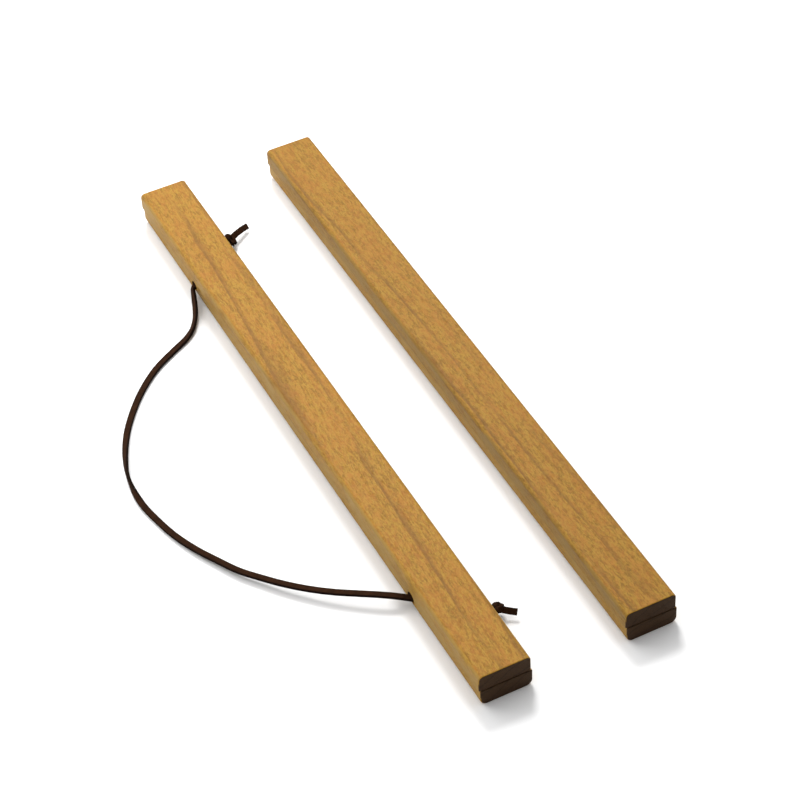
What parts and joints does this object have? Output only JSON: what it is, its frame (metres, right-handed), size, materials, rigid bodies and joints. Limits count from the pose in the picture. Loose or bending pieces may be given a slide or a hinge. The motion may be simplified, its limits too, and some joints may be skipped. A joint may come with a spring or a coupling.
{
  "type": "magnetic print hanger",
  "caption": "Flat wooden rails that clamp a print's top and bottom edges between magnet-held half slats, with a knotted flat leather hanging cord.",
  "frame": {"origin": "on the surface that the rails lie on, under the middle of the pair of rails", "axes": "+X along the rails to the right, +Y from the bottom rail to the top rail and its cord, which is up on a wall, +Z out of the wall, from the back slats to the front slats"},
  "size_m": [0.3, 0.1464, 0.015],
  "materials": {
    "slat_wood": "oiled satin, fine straight grain",
    "magnet_nickel": "bright nickel plate",
    "lace_leather": "matt suede lace, dark brown"
  },
  "bodies": {
    "top_rail_back": {"top_rail_back_slat": "slat_wood", "top_back_magnet_1": "magnet_nickel", "top_back_magnet_2": "magnet_nickel", "top_back_magnet_3": "magnet_nickel", "top_back_magnet_4": "magnet_nickel", "hanging_cord": "lace_leather", "left_cord_knot": "lace_leather", "right_cord_knot": "lace_leather"},
    "top_rail_front": {"top_rail_front_slat": "slat_wood", "top_front_magnet_1": "magnet_nickel", "top_front_magnet_2": "magnet_nickel", "top_front_magnet_3": "magnet_nickel", "top_front_magnet_4": "magnet_nickel"},
    "bottom_rail_back": {"bottom_rail_back_slat": "slat_wood", "bottom_back_magnet_1": "magnet_nickel", "bottom_back_magnet_2": "magnet_nickel", "bottom_back_magnet_3": "magnet_nickel", "bottom_back_magnet_4": "magnet_nickel"},
    "bottom_rail_front": {"bottom_rail_front_slat": "slat_wood", "bottom_front_magnet_1": "magnet_nickel", "bottom_front_magnet_2": "magnet_nickel", "bottom_front_magnet_3": "magnet_nickel", "bottom_front_magnet_4": "magnet_nickel"}
  },
  "joints": [
    {"name": "top_front_lift", "type": "slide", "parent": "top_rail_back", "child": "top_rail_front", "axis": [0, 0, 1], "range_m": [0, 0.03]},
    {"name": "bottom_rail_spread", "type": "slide", "parent": "top_rail_back", "child": "bottom_rail_back", "axis": [0, -1, 0], "range_m": [-0.015, 0.341]},
    {"name": "bottom_front_lift", "type": "slide", "parent": "bottom_rail_back", "child": "bottom_rail_front", "axis": [0, 0, 1], "range_m": [0, 0.03]}
  ]
}
